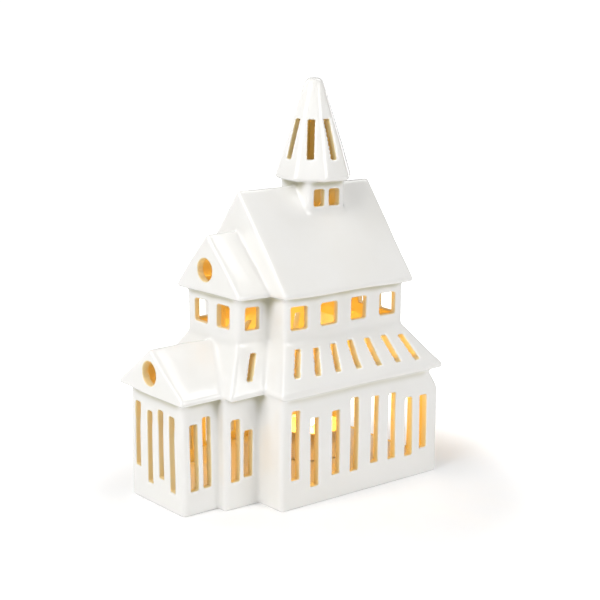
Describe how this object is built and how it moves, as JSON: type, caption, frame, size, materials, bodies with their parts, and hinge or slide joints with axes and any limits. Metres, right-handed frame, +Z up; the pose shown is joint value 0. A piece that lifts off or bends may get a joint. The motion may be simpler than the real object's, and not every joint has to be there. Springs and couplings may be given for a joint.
{
  "type": "ceramic christmas village house",
  "caption": "White glazed ceramic church-shaped tealight house with slotted walls, stepped roofs, a spire and a tealight that slides in at the back.",
  "frame": {"origin": "on the table, under the middle of the house", "axes": "+Z up, +Y along the ridge towards the back doorway, +X to the right of someone facing the porch"},
  "size_m": [0.0994, 0.1558, 0.212],
  "materials": {
    "white_glaze": "gloss white glaze",
    "cup_metal": "thin drawn metal",
    "sustainer_metal": "pressed tinplate",
    "wick_cotton": "burnt cotton",
    "candle_wax": "smooth wax"
  },
  "bodies": {
    "house": {"base_floor": "white_glaze", "nave_walls": "white_glaze", "narthex_walls": "white_glaze", "porch_walls": "white_glaze", "nave_aisle_roof": "white_glaze", "narthex_aisle_roof": "white_glaze", "porch_roof": "white_glaze", "nave_clerestory": "white_glaze", "narthex_clerestory": "white_glaze", "narthex_roof": "white_glaze", "nave_roof": "white_glaze", "turret": "white_glaze", "spire": "white_glaze"},
    "tealight": {"tealight_cup": "cup_metal", "tealight_sustainer": "sustainer_metal", "tealight_wick": "wick_cotton", "tealight_wax": "candle_wax"}
  },
  "joints": [
    {"name": "tealight_slide", "type": "slide", "parent": "house", "child": "tealight", "axis": [0, 1, 0], "range_m": [0, 0.09]}
  ]
}
